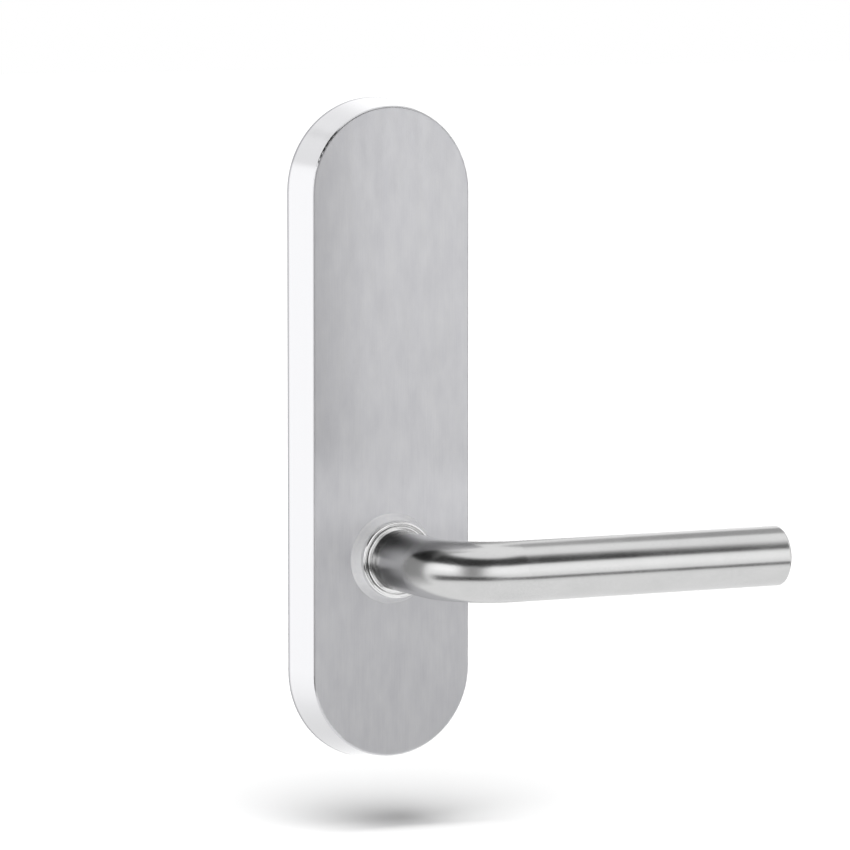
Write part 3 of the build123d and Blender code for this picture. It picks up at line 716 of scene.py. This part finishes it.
# cards around the set, seen only in the metal: each goes round the lever between two bearings (0 is the
# front, minus is left) and two heights in degrees, or stands close by, square to the front, in mm; "fade"
# is the share that thins out at its start, end, foot and top; "cover" is how far it hides what is behind
# it; "notFor" names the pieces that it stays dark for; "oneSided" leaves it out when it is met from its face
cards = {
    "upperBand": {"bearings": (-160, 62), "heights": (21.5, 64), "tone": 0.02,
                  "fade": (0.08, 0.1, 0.08, 0.28)},
    "leftWindow": {"bearings": (-112, -54), "heights": (-6, 34), "tone": 1.35,
                   "fade": (0.4, 0.25, 0.45, 0.1)},
    "rightWindow": {"bearings": (-30, 52), "heights": (-12, 34), "tone": 1.2,
                    "fade": (0.15, 0.35, 0.45, 0.1)},
    "lensGap": {"bearings": (-66, -22), "heights": (-10, 34), "tone": 0.35,
                "fade": (0.45, 0.42, 0.1, 0.1)},
    "lowerBand": {"bearings": (-108, 4), "heights": (-29, -5), "tone": 0.02,
                  "fade": (0.2, 0.3, 0.3, 0.4)},
    "lowerLine": {"bearings": (-40, 110), "heights": (-24, -12), "tone": 0.06,
                  "fade": (0.25, 0.3, 0.25, 0.25)},
    "lowGrey": {"bearings": (-180, 180), "heights": (-88, -26), "tone": 0.95,
                "fade": (0.001, 0.001, 0.001, 0.05)},
    "backGrey": {"bearings": (100, 150), "heights": (26, 62), "tone": 0.4,
                 "fade": (0.3, 0.3, 0.3, 0.2)},
    "rightEdge": {"bearings": (78, 138), "heights": (-14, 26), "tone": 0.12,
                  "fade": (0.3, 0.2, 0.2, 0.3)},
    "leftBack": {"bearings": (-214, -104), "heights": (-46, 46), "tone": 1.55,
                 "fade": (0.1, 0.08, 0.45, 0.1), "cover": 0.68,
                 "notFor": ("lever_tube", "lever_end_cap", "neck_ring")},
    "neckShadeUp": {"across": (8, -20), "depth": -20.1, "up": (1.2, 32), "tone": 0.02,
                    "fade": (0.475, 0.48, 0.08, 0.7), "cover": 0.95, "oneSided": True},
    "neckShadeLow": {"across": (-2, -19.2), "depth": -20.1, "up": (-26, -1.5), "tone": 0.02,
                     "fade": (0.28, 0.42, 0.7, 0.1), "cover": 0.74, "oneSided": True},
    "nearLeftUp": {"across": (-50, -3), "depth": -43, "up": (22, 170), "tone": 0.2,
                   "fade": (0.2, 0.4, 0.1, 0.1), "cover": 0.6},
}
cardRing = {"pivot": (0.02, -0.055, 0.0), "reach": 0.9, "steps": 24}


def cardRows(card):  # the points of its foot and of its top
    if "bearings" not in card:
        return [[(x * mm, card["depth"] * mm, z * mm) for x in card["across"]] for z in card["up"]]
    start, end = card["bearings"]
    steps = cardRing["steps"]
    bearings = [math.radians(start + (end - start) * k / steps) for k in range(steps + 1)]
    pivotX, pivotY, pivotZ = cardRing["pivot"]
    rows = []
    for height in card["heights"]:
        out = cardRing["reach"] * math.cos(math.radians(height))
        up = cardRing["reach"] * math.sin(math.radians(height))
        rows.append([
            (pivotX + out * math.sin(b), pivotY - out * math.cos(b), pivotZ + up) for b in bearings])
    return rows


def cardPaper(name, card):  # an even glow that thins out to clear at the edges
    paper = bpy.data.materials.new(name)
    paper.use_nodes = True
    tree = paper.node_tree
    tree.nodes.clear()
    sheetMap = addNode(tree, "ShaderNodeUVMap", uv_map="sheetMap")
    split = addNode(tree, "ShaderNodeSeparateXYZ", {"Vector": sheetMap.outputs["UV"]})
    cover = card.get("cover", 1.0)
    for (axis, rim), fade in zip((("X", 0), ("X", 1), ("Y", 0), ("Y", 1)), card["fade"]):
        edge = addNode(tree, "ShaderNodeMapRange", {
            "Value": split.outputs[axis], "From Min": rim, "From Max": abs(rim - fade)},
            interpolation_type="SMOOTHSTEP")
        inside = addNode(tree, "ShaderNodeMath", {
            0: edge.outputs["Result"], 1: cover}, operation="MULTIPLY")
        cover = inside.outputs["Value"]
    if card.get("oneSided"):
        side = addNode(tree, "ShaderNodeNewGeometry")
        fromBack = addNode(tree, "ShaderNodeMath", {
            0: cover, 1: side.outputs["Backfacing"]}, operation="MULTIPLY")
        cover = fromBack.outputs["Value"]
    clear = addNode(tree, "ShaderNodeBsdfTransparent")
    glow = addNode(tree, "ShaderNodeEmission", {"Color": (1, 1, 1, 1), "Strength": card["tone"]})
    mixed = addNode(tree, "ShaderNodeMixShader", {
        0: cover, 1: clear.outputs["BSDF"], 2: glow.outputs["Emission"]})
    addNode(tree, "ShaderNodeOutputMaterial", {"Surface": mixed.outputs["Shader"]})
    return paper


for cardName, card in cards.items():
    sheet = stageSheet(cardName, cardRows(card), cardPaper(cardName, card))
    for ray in ("camera", "diffuse", "shadow", "transmission"):
        setattr(sheet, "visible_" + ray, False)
    if "notFor" in card:
        lit = bpy.data.collections.new(cardName + "Lit")
        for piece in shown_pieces():
            if piece.name not in card["notFor"]:
                lit.objects.link(piece)
        sheet.light_linking.receiver_collection = lit
scene.view_settings.view_transform = "Standard"
print("studio: floor, top lamp,", len(fills), "fills and", len(cards), "cards")
